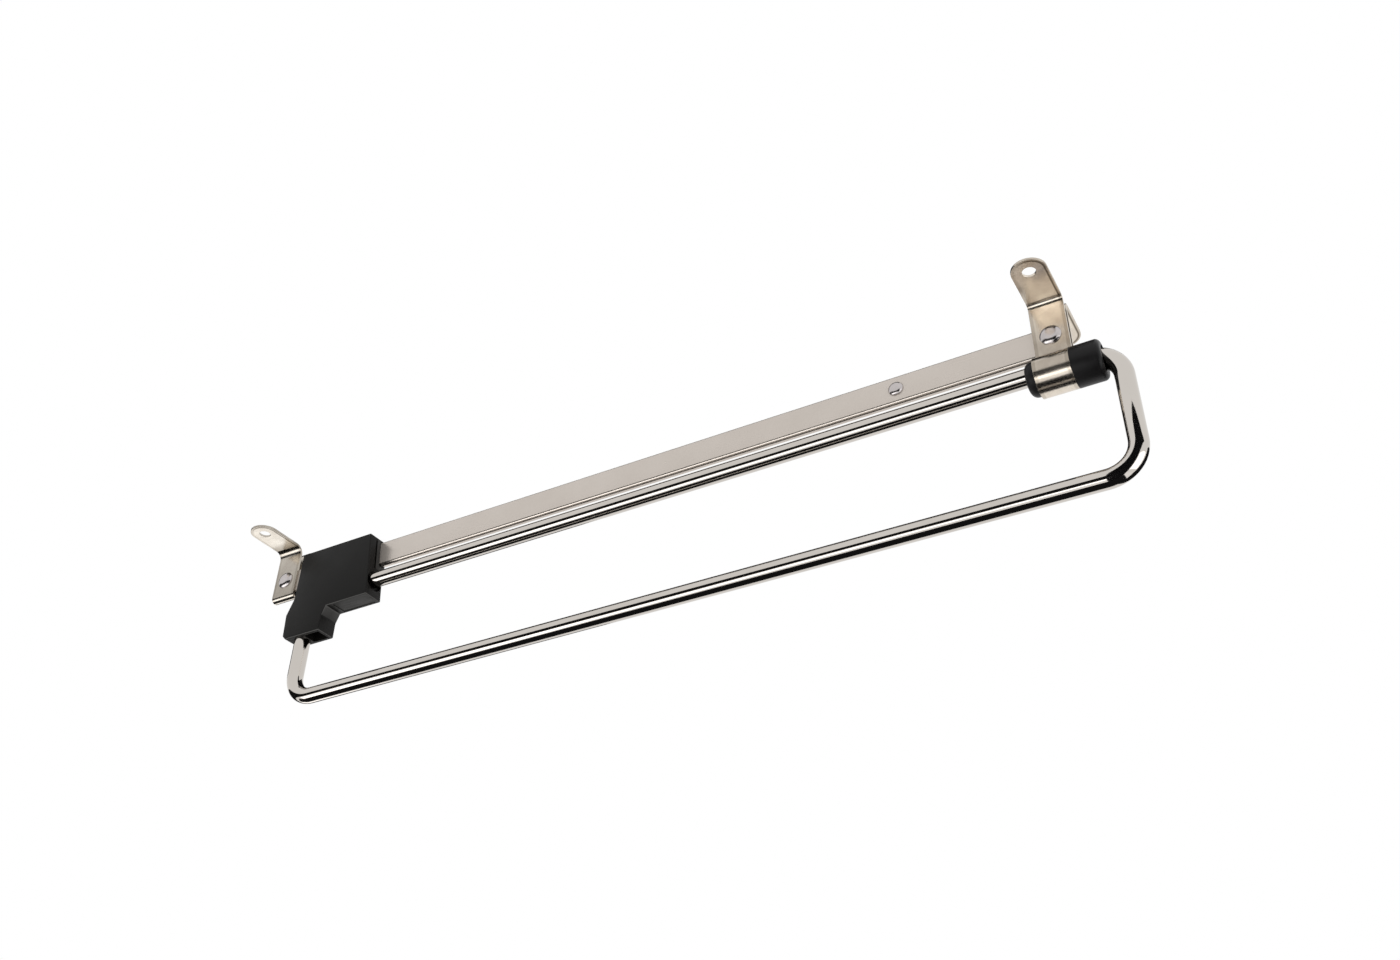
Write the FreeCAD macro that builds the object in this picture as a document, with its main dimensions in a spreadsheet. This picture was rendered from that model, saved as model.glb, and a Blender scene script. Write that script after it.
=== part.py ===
import FreeCAD, Part
import math
import os
import Sketcher

# Pull-out wardrobe rail, screwed up under a shelf. All sizes are in millimetres.
# X runs along the rail, the way the loop pulls out. Y runs from front to back. Z is up.
# The origin is the centre of the four screw holes, on the faces that lie against the shelf.

os.makedirs("parts", exist_ok=True)
doc = FreeCAD.newDocument("PullOutRail")
sheet = doc.addObject("Spreadsheet::Sheet", "dims")

DRIVING = [
    # hanging loop of round wire
    ("wire_diameter", 7.0),
    ("loop_length", 369.0),
    ("loop_height", 50.1),
    ("lower_bend", 12.0),
    ("front_bend", 11.0),
    ("hidden_bend", 10.0),
    # guide rail, a shallow channel rolled from sheet
    ("rail_height", 12.8),
    ("rail_depth", 2.6),
    ("rail_sheet", 0.8),
    ("rail_corner", 1.5),
    ("rail_drop", 11.6),
    ("rail_inset", 1.0),
    # where the rod runs under the rail
    ("rod_clear", 5.6),
    ("rod_overlap", 1.3),
    # bracket straps
    ("strap_width", 13.0),
    ("strap_thickness", 1.0),
    ("front_strap_bend", 2.5),
    ("rear_strap_bend", 4.0),
    ("hole_rows", 40.0),
    ("screw_hole", 5.0),
    ("fold_clearance", 0.3),
    ("front_valley", 3.1),
    ("back_valley", 2.0),
    # bushing
    ("bushing_wall", 1.07),
    ("bushing_drop", 1.8),
    ("collar_length", 3.6),
    ("collar_round", 2.5),
    ("head_length", 10.5),
    ("head_round", 1.8),
    ("leg_standoff", 5.4),
    # rivets
    ("rivet_shank", 4.0),
    ("rivet_head", 8.0),
    ("rivet_crown", 1.5),
    ("rivet_rim", 0.3),
    ("rivet_tail", 6.0),
    ("tail_height", 0.7),
    ("rivet_drop", 5.2),
    ("stop_head", 6.0),
    ("stop_crown", 1.3),
    ("stop_shank", 3.0),
    ("stop_tail", 4.4),
    ("stop_drop", 6.4),
    ("stop_inset", 59.9),
    # slider
    ("rest_gap", 9.2),
    ("rear_reach", 5.2),
    ("slider_length", 40.5),
    ("slider_draft", 3.2),
    ("slider_wall", 1.4),
    ("slider_roof", 0.75),
    ("hump_wall", 1.0),
    ("belly_wall", 5.6),
    ("throat_reach", 15.3),
    ("throat_height", 4.4),
    ("heel_reach", 13.5),
    ("foot_drop", 20.8),
    ("foot_reach", 8.1),
    ("foot_chamfer", 1.8),
    ("elbow_reach", 8.7),
    ("elbow_drop", 8.3),
    ("nape_reach", 5.6),
    ("nape_drop", 0.5),
    ("edge_round", 0.5),
    ("mouth_wall", 0.5),
    ("mouth_depth", 1.5),
    ("mouth_drop", 1.0),
    ("pocket_wall", 2.0),
    ("pocket_depth", 7.5),
    ("pocket_gap", 0.6),
    # slider screws
    ("thread_diameter", 2.2),
    ("cap_diameter", 4.2),
    ("cap_height", 1.4),
    ("thread_floor", 1.5),
    ("front_screw_inset", 8.5),
    # fits
    ("running_clearance", 0.08),
    ("relief_clearance", 0.4),
    ("strap_fit", 0.05),
    ("rivet_fit", 0.02),
    ("slot_clearance", 0.15),
    ("grip_clearance", 0.02),
    ("screw_clearance", 0.1),
]

DERIVED = [
    ("wire_radius", "wire_diameter / 2"),
    ("column_spacing", "loop_length - head_length - leg_standoff + rest_gap + rear_reach"),
    ("front_column", "column_spacing / 2"),
    ("rear_column", "-column_spacing / 2"),
    ("strap_half", "strap_width / 2"),
    ("hole_row", "hole_rows / 2"),
    ("ear_level", "-strap_thickness / 2"),
    ("ear_tip", "hole_row + strap_half + strap_thickness"),
    # guide rail
    ("rail_front", "-rail_depth / 2"),
    ("rail_back", "rail_depth / 2"),
    ("rail_web", "rail_front + rail_sheet"),
    ("rail_top", "-rail_drop"),
    ("rail_bottom", "rail_top - rail_height"),
    ("rail_length", "column_spacing + strap_width - 2 * rail_inset"),
    # loop
    ("rod_y", "rail_front + rod_overlap - wire_radius"),
    ("rod_z", "rail_bottom - rod_clear - wire_radius"),
    ("bar_z", "rod_z - loop_height"),
    ("rear_leg", "rear_column + strap_half + rest_gap + rear_reach"),
    ("front_leg", "rear_leg + loop_length"),
    ("front_bend_start", "front_leg - front_bend"),
    ("bar_end", "front_leg - lower_bend"),
    # straps
    ("front_plate", "rail_front - strap_thickness / 2"),
    ("back_plate", "rail_back + strap_thickness / 2"),
    ("fold_z", "rail_bottom - fold_clearance"),
    ("ring_z", "rod_z - bushing_drop"),
    ("bushing_radius", "wire_radius + running_clearance + bushing_wall + bushing_drop"),
    ("ring_radius", "bushing_radius + strap_fit + strap_thickness / 2"),
    ("front_valley_y", "front_plate - front_valley"),
    ("back_valley_y", "back_plate + back_valley"),
    ("front_valley_z", "ring_z + sqrt((ring_radius + front_valley)^2 - (front_valley_y - rod_y)^2)"),
    ("back_valley_z", "ring_z + sqrt((ring_radius + back_valley)^2 - (back_valley_y - rod_y)^2)"),
    # bushing
    ("collar_start", "front_column - strap_half - collar_length"),
    ("head_start", "front_column + strap_half"),
    ("head_end", "head_start + head_length"),
    ("head_radius", "bushing_radius + strap_fit + strap_thickness"),
    # rivets
    ("rivet_z", "rail_top - rivet_drop"),
    ("stop_z", "rail_top - stop_drop"),
    ("stop_x", "front_column - stop_inset"),
    ("rivet_seat", "rail_front - strap_thickness"),
    ("rivet_end", "rail_back + strap_thickness"),
    # slider
    ("shell_thickness", "wire_radius + slider_wall"),
    ("slider_left", "rear_leg - rear_reach"),
    ("slider_right", "slider_left + slider_length"),
    ("slider_toe", "slider_right + slider_draft"),
    ("slider_top", "rail_top + slot_clearance + slider_roof"),
    ("belly_z", "rod_z - wire_radius - belly_wall"),
    ("throat_z", "belly_z - throat_height"),
    ("foot_z", "rod_z - foot_drop"),
    ("hump_back", "rail_back + slot_clearance + hump_wall"),
    ("hump_z", "rail_bottom - slot_clearance - hump_wall"),
    ("draft_slope", "slider_draft / (slider_top - belly_z)"),
    ("hump_right", "slider_right + draft_slope * (slider_top - hump_z)"),
    ("mouth_x", "slider_right + draft_slope * (slider_top - rod_z) - mouth_depth"),
    ("mouth_radius", "shell_thickness - mouth_wall"),
    ("channel_radius", "wire_radius + grip_clearance"),
    ("pocket_left", "rear_leg + wire_radius + pocket_gap"),
    ("pocket_right", "rear_leg + heel_reach - pocket_wall"),
    # slider screws
    ("screw_front_x", "slider_toe - front_screw_inset"),
    ("screw_front_z", "belly_z + belly_wall / 2"),
    ("screw_rear_x", "rear_leg + hidden_bend"),
    ("screw_rear_z", "rod_z - hidden_bend"),
    ("shell_back", "rod_y + shell_thickness"),
    ("thread_end", "rod_y - shell_thickness + thread_floor"),
]


def fill_sheet():
    """Writes the driving sizes first, then the sizes worked out from them."""
    rows = [(name, str(value)) for name, value in DRIVING]
    rows += [(name, "=" + formula) for name, formula in DERIVED]
    for row, (name, content) in enumerate(rows, start=1):
        sheet.set("A%d" % row, name)
        sheet.set("B%d" % row, content)
        sheet.setAlias("B%d" % row, name)
    doc.recompute()


def size(name):
    """Current value of one named size."""
    return float(getattr(sheet, name))


def new_body(label):
    body = doc.addObject("PartDesign::Body", label)
    body.Label = label
    body.Placement = FreeCAD.Placement()
    return body


def sketch_on(body, name, role, level="0", along="0"):
    """Empty sketch on an origin plane, moved to a level on that plane's axis."""
    sketch = body.newObject("Sketcher::SketchObject", name)
    plane = next(item for item in body.Origin.OriginFeatures if item.Role == role)
    sketch.AttachmentSupport = [(plane, "")]
    sketch.MapMode = "FlatFace"
    sign = "-" if role == "XZ_Plane" else ""
    sketch.setExpression("AttachmentOffset.Base.z", "%s(%s)" % (sign, level))
    sketch.setExpression("AttachmentOffset.Base.x", along)
    return sketch


def value(sketch, formula):
    """Number that a formula gives now, used as the starting position of sketch geometry."""
    return float(sketch.evalExpression(formula))


def bind(sketch, kind, refs, formula):
    """Adds one dimension to a sketch and ties it to a formula."""
    index = sketch.addConstraint(Sketcher.Constraint(kind, *refs, value(sketch, formula)))
    sketch.setExpression("Constraints[%d]" % index, formula)


def add_polygon(sketch, corners):
    """Closed outline through corners, each placed from the origin by two formulas."""
    points = [FreeCAD.Vector(value(sketch, u), value(sketch, v), 0) for u, v in corners]
    first = sketch.GeometryCount
    count = len(points)
    for index in range(count):
        line = Part.LineSegment(points[index], points[(index + 1) % count])
        sketch.addGeometry(line, False)
    for index in range(count):
        following = first + (index + 1) % count
        sketch.addConstraint(Sketcher.Constraint("Coincident", first + index, 2, following, 1))
    for index, (u, v) in enumerate(corners):
        bind(sketch, "DistanceX", (-1, 1, first + index, 1), u)
        bind(sketch, "DistanceY", (-1, 1, first + index, 1), v)


def add_circle(sketch, u, v, diameter):
    centre = FreeCAD.Vector(value(sketch, u), value(sketch, v), 0)
    radius = value(sketch, diameter) / 2
    index = sketch.addGeometry(Part.Circle(centre, FreeCAD.Vector(0, 0, 1), radius), False)
    bind(sketch, "Diameter", (index,), diameter)
    bind(sketch, "DistanceX", (-1, 1, index, 3), u)
    bind(sketch, "DistanceY", (-1, 1, index, 3), v)


def add_chain(sketch, pieces, closed=False):
    """Smooth path of lines and arcs. Arcs are (centre u, centre v, radius, start, turn)."""
    joints = []
    for piece in pieces:
        if len(piece) == 4:
            start = FreeCAD.Vector(value(sketch, piece[0]), value(sketch, piece[1]), 0)
            end = FreeCAD.Vector(value(sketch, piece[2]), value(sketch, piece[3]), 0)
            index = sketch.addGeometry(Part.LineSegment(start, end), False)
            joints.append((index, 1, 2))
            continue
        centre = FreeCAD.Vector(value(sketch, piece[0]), value(sketch, piece[1]), 0)
        circle = Part.Circle(centre, FreeCAD.Vector(0, 0, 1), value(sketch, piece[2]))
        low = math.radians(min(piece[3], piece[3] + piece[4]))
        high = math.radians(max(piece[3], piece[3] + piece[4]))
        index = sketch.addGeometry(Part.ArcOfCircle(circle, low, high), False)
        joints.append((index, 1, 2) if piece[4] > 0 else (index, 2, 1))
    pairs = list(zip(joints, joints[1:]))
    if closed:
        pairs.append((joints[-1], joints[0]))
    for before, after in pairs:
        tangent = Sketcher.Constraint("Tangent", before[0], before[2], after[0], after[1])
        sketch.addConstraint(tangent)


def add_pad(body, name, sketch, length, backwards=False, centred=False):
    pad = body.newObject("PartDesign::Pad", name)
    pad.Profile = sketch
    pad.SideType = "Symmetric" if centred else "One side"
    pad.Reversed = backwards
    pad.setExpression("Length", length)
    doc.recompute()
    return pad


def add_pocket(body, name, sketch, length, backwards=False, centred=False):
    """Cuts a sketch out of the body and makes sure that it did cut."""
    before = body.Shape.Volume
    pocket = body.newObject("PartDesign::Pocket", name)
    pocket.Profile = sketch
    pocket.SideType = "Symmetric" if centred else "One side"
    pocket.Reversed = backwards
    pocket.setExpression("Length", length)
    doc.recompute()
    if body.Shape.Volume > before - 0.01:
        raise RuntimeError(name + " removed nothing")
    return pocket


def add_sweep(body, name, kind, section, path):
    sweep = body.newObject("PartDesign::" + kind, name)
    sweep.Profile = section
    sweep.Spine = (path, [])
    doc.recompute()
    return sweep


def add_fillet(body, name, radius, wanted):
    """Rounds the edges of the body's last feature that pass a test on the edge."""
    feature = body.Tip
    names = []
    for index, edge in enumerate(feature.Shape.Edges, start=1):
        if wanted(edge):
            names.append("Edge%d" % index)
    fillet = body.newObject("PartDesign::Fillet", name)
    fillet.Base = (feature, names)
    fillet.setExpression("Radius", radius)
    doc.recompute()
    return fillet


def near(a, b):
    return abs(a - b) < 1e-4


def flat_at(edge, axis, level):
    """True when a whole edge lies at one level of an axis."""
    box = edge.BoundBox
    low, high = {"x": (box.XMin, box.XMax), "y": (box.YMin, box.YMax), "z": (box.ZMin, box.ZMax)}[axis]
    return near(low, level) and near(high, level)


# Guide rail: a C of thin sheet with its web to the front and its flanges to the back.
# Three rivets pass through the web.
def guide_rail():
    body = new_body("guide_rail")
    section = sketch_on(body, "rail_section", "YZ_Plane")
    add_polygon(section, [
        ("dims.rail_front", "dims.rail_top"),
        ("dims.rail_back", "dims.rail_top"),
        ("dims.rail_back", "dims.rail_top - dims.rail_sheet"),
        ("dims.rail_web", "dims.rail_top - dims.rail_sheet"),
        ("dims.rail_web", "dims.rail_bottom + dims.rail_sheet"),
        ("dims.rail_back", "dims.rail_bottom + dims.rail_sheet"),
        ("dims.rail_back", "dims.rail_bottom"),
        ("dims.rail_front", "dims.rail_bottom"),
    ])
    add_pad(body, "rail_pad", section, "dims.rail_length", centred=True)

    def outer_corner(edge):
        return flat_at(edge, "y", size("rail_front")) and edge.BoundBox.XLength > 1
    add_fillet(body, "rail_bends", "dims.rail_corner", outer_corner)

    def inner_corner(edge):
        inside = flat_at(edge, "y", size("rail_web")) and edge.BoundBox.XLength > 1
        levels = (size("rail_top") - size("rail_sheet"), size("rail_bottom") + size("rail_sheet"))
        return inside and any(near(edge.BoundBox.ZMin, level) for level in levels)
    add_fillet(body, "rail_inner_bends", "dims.rail_corner - dims.rail_sheet", inner_corner)

    holes = sketch_on(body, "rail_holes", "XZ_Plane")
    bracket_hole = "dims.rivet_shank + 2 * dims.rivet_fit"
    add_circle(holes, "dims.rear_column", "dims.rivet_z", bracket_hole)
    add_circle(holes, "dims.front_column", "dims.rivet_z", bracket_hole)
    add_circle(holes, "dims.stop_x", "dims.stop_z", "dims.stop_shank + 2 * dims.rivet_fit")
    add_pocket(body, "rail_holes_cut", holes, "4 * dims.rail_depth", centred=True)
    return body


# Bracket straps: flat strip folded down on both sides of the rail, with an ear at each end.
# The ears end in a half circle round the screw hole. Only the fold between the plates differs.
def strap(label, column, bend, front_low, fold, back_low, fold_rules):
    body = new_body(label)
    path = sketch_on(body, label + "_path", "YZ_Plane", "dims." + column)
    bend_z = "dims.ear_level - dims." + bend
    front_bend_y = "dims.front_plate - dims." + bend
    back_bend_y = "dims.back_plate + dims." + bend
    pieces = [
        ("-dims.ear_tip", "dims.ear_level", front_bend_y, "dims.ear_level"),
        (front_bend_y, bend_z, "dims." + bend, 90, -90),
        ("dims.front_plate", bend_z, "dims.front_plate", front_low),
    ] + fold + [
        ("dims.back_plate", back_low, "dims.back_plate", bend_z),
        (back_bend_y, bend_z, "dims." + bend, 180, -90),
        (back_bend_y, "dims.ear_level", "dims.ear_tip", "dims.ear_level"),
    ]
    add_chain(path, pieces)
    last = len(pieces) - 1
    for index, kind in ((0, "Horizontal"), (2, "Vertical"), (last - 2, "Vertical"), (last, "Horizontal")):
        path.addConstraint(Sketcher.Constraint(kind, index))
    bind(path, "Radius", (1,), "dims." + bend)
    bind(path, "Radius", (last - 1,), "dims." + bend)
    bind(path, "DistanceX", (-1, 1, 0, 1), "-dims.ear_tip")
    bind(path, "DistanceY", (-1, 1, 0, 1), "dims.ear_level")
    bind(path, "DistanceX", (-1, 1, 2, 1), "dims.front_plate")
    bind(path, "DistanceX", (-1, 1, last - 2, 1), "dims.back_plate")
    bind(path, "DistanceX", (-1, 1, last, 2), "dims.ear_tip")
    bind(path, "DistanceY", (-1, 1, last, 2), "dims.ear_level")
    for kind, refs, formula in fold_rules:
        bind(path, kind, refs, formula)

    section = sketch_on(body, label + "_section", "XZ_Plane", "-dims.ear_tip")
    left = "dims.%s - dims.strap_half" % column
    right = "dims.%s + dims.strap_half" % column
    add_polygon(section, [
        (left, "0"),
        (right, "0"),
        (right, "-dims.strap_thickness"),
        (left, "-dims.strap_thickness"),
    ])
    add_sweep(body, label + "_sweep", "AdditivePipe", section, path)

    outline = sketch_on(body, label + "_outline", "XY_Plane")
    round_ends(outline, column, left, right)
    add_pocket(body, label + "_ear_rounds", outline, "2 * dims.strap_thickness", centred=True)

    holes = sketch_on(body, label + "_screw_holes", "XY_Plane")
    add_circle(holes, "dims." + column, "-dims.hole_row", "dims.screw_hole")
    add_circle(holes, "dims." + column, "dims.hole_row", "dims.screw_hole")
    add_pocket(body, label + "_screw_holes_cut", holes, "4 * dims.strap_thickness", centred=True)

    rivet_hole = sketch_on(body, label + "_rivet_hole", "XZ_Plane")
    add_circle(rivet_hole, "dims." + column, "dims.rivet_z", "dims.rivet_shank + 2 * dims.rivet_fit")
    add_pocket(body, label + "_rivet_hole_cut", rivet_hole, "dims.hole_rows / 2", centred=True)
    return body


def round_ends(outline, column, left, right):
    """Frame round a strip with half-round ends, used to trim the ears."""
    far_left = left + " - dims.strap_width"
    far_right = right + " + dims.strap_width"
    far = "2 * dims.ear_tip"
    add_polygon(outline, [(far_left, "-" + far), (far_right, "-" + far), (far_right, far), (far_left, far)])
    middle = "dims." + column
    first = outline.GeometryCount
    add_chain(outline, [
        (left, "dims.hole_row", left, "-dims.hole_row"),
        (middle, "-dims.hole_row", "dims.strap_half", 180, 180),
        (right, "-dims.hole_row", right, "dims.hole_row"),
        (middle, "dims.hole_row", "dims.strap_half", 0, 180),
    ], closed=True)
    outline.addConstraint(Sketcher.Constraint("Vertical", first))
    outline.addConstraint(Sketcher.Constraint("Vertical", first + 2))
    bind(outline, "Radius", (first + 1,), "dims.strap_half")
    bind(outline, "DistanceX", (-1, 1, first + 1, 3), middle)
    bind(outline, "DistanceY", (-1, 1, first + 1, 3), "-dims.hole_row")
    bind(outline, "DistanceY", (-1, 1, first + 3, 3), "dims.hole_row")


# Rear bracket: the strap turns straight back up under the rail.
def rear_bracket():
    fold = [("0", "dims.fold_z", "dims.back_plate", 180, 180)]
    rules = [("DistanceY", (-1, 1, 3, 3), "dims.fold_z")]
    low = "dims.fold_z"
    return strap("rear_bracket", "rear_column", "rear_strap_bend", low, fold, low, rules)


# Front bracket: the strap loops round the bushing between its two plates.
def front_bracket():
    rise = size("front_valley_z") - size("ring_z")
    front_angle = math.degrees(math.atan2(rise, size("front_valley_y") - size("rod_y")))
    rise = size("back_valley_z") - size("ring_z")
    back_angle = math.degrees(math.atan2(rise, size("back_valley_y") - size("rod_y")))
    ring_turn = 360 + back_angle - front_angle
    fold = [
        ("dims.front_valley_y", "dims.front_valley_z", "dims.front_valley", 0, front_angle - 180),
        ("dims.rod_y", "dims.ring_z", "dims.ring_radius", front_angle, ring_turn),
        ("dims.back_valley_y", "dims.back_valley_z", "dims.back_valley", 180 + back_angle, -back_angle),
    ]
    rules = [
        ("Radius", (3,), "dims.front_valley"),
        ("Radius", (4,), "dims.ring_radius"),
        ("Radius", (5,), "dims.back_valley"),
        ("DistanceX", (-1, 1, 4, 3), "dims.rod_y"),
        ("DistanceY", (-1, 1, 4, 3), "dims.ring_z"),
    ]
    low = ("dims.front_valley_z", "dims.back_valley_z")
    return strap("front_bracket", "front_column", "front_strap_bend", low[0], fold, low[1], rules)


# Rivets: a domed head in front, a shank through the sheet and a flattened tail behind it.
def rivet(label, column, level, head, crown, shank, tail, seat, end):
    body = new_body(label)
    profile = sketch_on(body, label + "_profile", "XY_Plane", level, column)
    rim = "%s - dims.rivet_rim" % seat
    top = "%s - %s" % (seat, crown)
    corners = [
        ("0", "%s + dims.tail_height" % end),
        ("%s / 2" % tail, "%s + dims.tail_height" % end),
        ("%s / 2" % tail, end),
        ("%s / 2" % shank, end),
        ("%s / 2" % shank, seat),
        ("%s / 2" % head, seat),
        ("%s / 2" % head, rim),
    ]
    points = [FreeCAD.Vector(value(profile, u), value(profile, v), 0) for u, v in corners]
    crest = FreeCAD.Vector(0, value(profile, top), 0)
    for start, finish in zip(points, points[1:]):
        profile.addGeometry(Part.LineSegment(start, finish), False)
    half = points[-1].x
    rise = points[-1].y - crest.y
    radius = (half * half + rise * rise) / (2 * rise)
    circle = Part.Circle(FreeCAD.Vector(0, crest.y + radius, 0), FreeCAD.Vector(0, 0, 1), radius)
    sweep = math.asin(half / radius)
    dome = profile.addGeometry(Part.ArcOfCircle(circle, -math.pi / 2, -math.pi / 2 + sweep), False)
    axis = profile.addGeometry(Part.LineSegment(crest, points[0]), False)
    for index in range(len(corners) - 2):
        profile.addConstraint(Sketcher.Constraint("Coincident", index, 2, index + 1, 1))
    profile.addConstraint(Sketcher.Constraint("Coincident", dome - 1, 2, dome, 2))
    profile.addConstraint(Sketcher.Constraint("Coincident", dome, 1, axis, 1))
    profile.addConstraint(Sketcher.Constraint("Coincident", axis, 2, 0, 1))
    profile.addConstraint(Sketcher.Constraint("PointOnObject", dome, 3, -2))
    for index, (u, v) in enumerate(corners[:-1]):
        bind(profile, "DistanceX", (-1, 1, index, 1), u)
        bind(profile, "DistanceY", (-1, 1, index, 1), v)
    bind(profile, "DistanceX", (-1, 1, dome, 2), corners[-1][0])
    bind(profile, "DistanceY", (-1, 1, dome, 2), corners[-1][1])
    bind(profile, "DistanceX", (-1, 1, dome, 1), "0")
    bind(profile, "DistanceY", (-1, 1, dome, 1), top)
    turned = body.newObject("PartDesign::Revolution", label + "_turned")
    turned.Profile = profile
    turned.ReferenceAxis = (profile, ["V_Axis"])
    turned.Angle = 360
    doc.recompute()
    return body


def bracket_rivet(label, column):
    return rivet(label, "dims." + column, "dims.rivet_z", "dims.rivet_head", "dims.rivet_crown",
                 "dims.rivet_shank", "dims.rivet_tail", "dims.rivet_seat", "dims.rivet_end")


def stop_rivet():
    return rivet("stop_rivet", "dims.stop_x", "dims.stop_z", "dims.stop_head", "dims.stop_crown",
                 "dims.stop_shank", "dims.stop_tail", "dims.rail_front", "dims.rail_web")


# Bushing: an eccentric plastic sleeve. Its collar shows behind the strap and its head in front.
# The head's mouth is relieved so that the loop's upper front bend can rest in it.
def front_bushing():
    body = new_body("front_bushing")
    sleeve = sketch_on(body, "bushing_sleeve", "YZ_Plane", "dims.collar_start")
    add_circle(sleeve, "dims.rod_y", "dims.ring_z", "2 * dims.bushing_radius")
    add_pad(body, "bushing_sleeve_pad", sleeve, "dims.collar_length + dims.strap_width")
    head = sketch_on(body, "bushing_head", "YZ_Plane", "dims.head_start")
    add_circle(head, "dims.rod_y", "dims.ring_z", "2 * dims.head_radius")
    add_pad(body, "bushing_head_pad", head, "dims.head_length")
    add_fillet(body, "bushing_collar_round", "dims.collar_round",
               lambda edge: flat_at(edge, "x", size("collar_start")))
    add_fillet(body, "bushing_head_round", "dims.head_round",
               lambda edge: flat_at(edge, "x", size("head_end")))

    bore = sketch_on(body, "bushing_bore", "YZ_Plane", "dims.collar_start - 1")
    add_circle(bore, "dims.rod_y", "dims.rod_z", "dims.wire_diameter + 2 * dims.running_clearance")
    bore_length = "dims.collar_length + dims.strap_width + dims.head_length + 2"
    add_pocket(body, "bushing_bore_cut", bore, bore_length, backwards=True)

    relief = sketch_on(body, "bushing_relief", "YZ_Plane", "dims.front_bend_start - 1")
    add_circle(relief, "dims.rod_y", "dims.rod_z", "dims.wire_diameter + 2 * dims.relief_clearance")
    path = sketch_on(body, "bushing_relief_path", "XZ_Plane", "dims.rod_y")
    add_chain(path, [
        ("dims.front_bend_start - 1", "dims.rod_z", "dims.front_bend_start", "dims.rod_z"),
        ("dims.front_bend_start", "dims.rod_z - dims.front_bend", "dims.front_bend", 90, -90),
    ])
    path.addConstraint(Sketcher.Constraint("Horizontal", 0))
    bind(path, "Radius", (1,), "dims.front_bend")
    bind(path, "DistanceX", (-1, 1, 0, 1), "dims.front_bend_start - 1")
    bind(path, "DistanceY", (-1, 1, 0, 1), "dims.rod_z")
    bind(path, "DistanceX", (-1, 1, 1, 3), "dims.front_bend_start")
    bind(path, "DistanceY", (-1, 1, 1, 1), "dims.rod_z - dims.front_bend")
    add_sweep(body, "bushing_relief_cut", "SubtractivePipe", relief, path)
    return body


# Wire loop: one round wire bent to a closed rectangle. Its upper rod slides through the
# bushing, its lower bar carries the hangers and its upper rear bend sits in the slider.
# It is drawn as two straight runs and two bent ends that meet face to face.
def wire_run(label, level, left, right):
    body = new_body(label)
    section = sketch_on(body, label + "_section", "YZ_Plane", left)
    add_circle(section, "dims.rod_y", level, "dims.wire_diameter")
    add_pad(body, label + "_pad", section, "%s - (%s)" % (right, left))
    return body


def wire_end(label, leg, upper_bend, side):
    """Leg with a bend above and below it. Side is 1 at the front and -1 at the rear."""
    body = new_body(label)
    path = sketch_on(body, label + "_path", "XZ_Plane", "dims.rod_y")
    inward = "-" if side > 0 else "+"
    upper_x = "%s %s %s" % (leg, inward, upper_bend)
    lower_x = "%s %s dims.lower_bend" % (leg, inward)
    upper_z = "dims.rod_z - " + upper_bend
    lower_z = "dims.bar_z + dims.lower_bend"
    leg_angle = 0 if side > 0 else 180
    add_chain(path, [
        (upper_x, upper_z, upper_bend, 90, -90 * side),
        (leg, upper_z, leg, lower_z),
        (lower_x, lower_z, "dims.lower_bend", leg_angle, -90 * side),
    ])
    upper_end, lower_end = (2, 1) if side > 0 else (1, 2)
    path.addConstraint(Sketcher.Constraint("Vertical", 1))
    bind(path, "Radius", (0,), upper_bend)
    bind(path, "Radius", (2,), "dims.lower_bend")
    bind(path, "DistanceX", (-1, 1, 1, 1), leg)
    bind(path, "DistanceY", (-1, 1, 0, 3), upper_z)
    bind(path, "DistanceX", (-1, 1, 0, upper_end), upper_x)
    bind(path, "DistanceY", (-1, 1, 2, 3), lower_z)
    bind(path, "DistanceX", (-1, 1, 2, lower_end), lower_x)
    section = sketch_on(body, label + "_section", "YZ_Plane", upper_x)
    add_circle(section, "dims.rod_y", "dims.rod_z", "dims.wire_diameter")
    add_sweep(body, label + "_sweep", "AdditivePipe", section, path)
    return body


# Slider: two moulded halves that meet on the wire's middle plane. Together they clamp the
# loop's upper rear bend. Only the rear half reaches back round the rail.
def slider_outline(body, name):
    outline = sketch_on(body, name, "XZ_Plane", "dims.rod_y")
    add_polygon(outline, [
        ("dims.slider_left", "dims.slider_top"),
        ("dims.slider_right", "dims.slider_top"),
        ("dims.slider_toe", "dims.belly_z"),
        ("dims.rear_leg + dims.throat_reach", "dims.belly_z"),
        ("dims.rear_leg + dims.heel_reach", "dims.throat_z"),
        ("dims.rear_leg + dims.heel_reach", "dims.foot_z"),
        ("dims.rear_leg - dims.foot_reach + dims.foot_chamfer", "dims.foot_z"),
        ("dims.rear_leg - dims.foot_reach", "dims.foot_z + dims.foot_chamfer"),
        ("dims.rear_leg - dims.elbow_reach", "dims.rod_z - dims.elbow_drop"),
        ("dims.rear_leg - dims.nape_reach", "dims.rod_z - dims.nape_drop"),
    ])
    return outline


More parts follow.
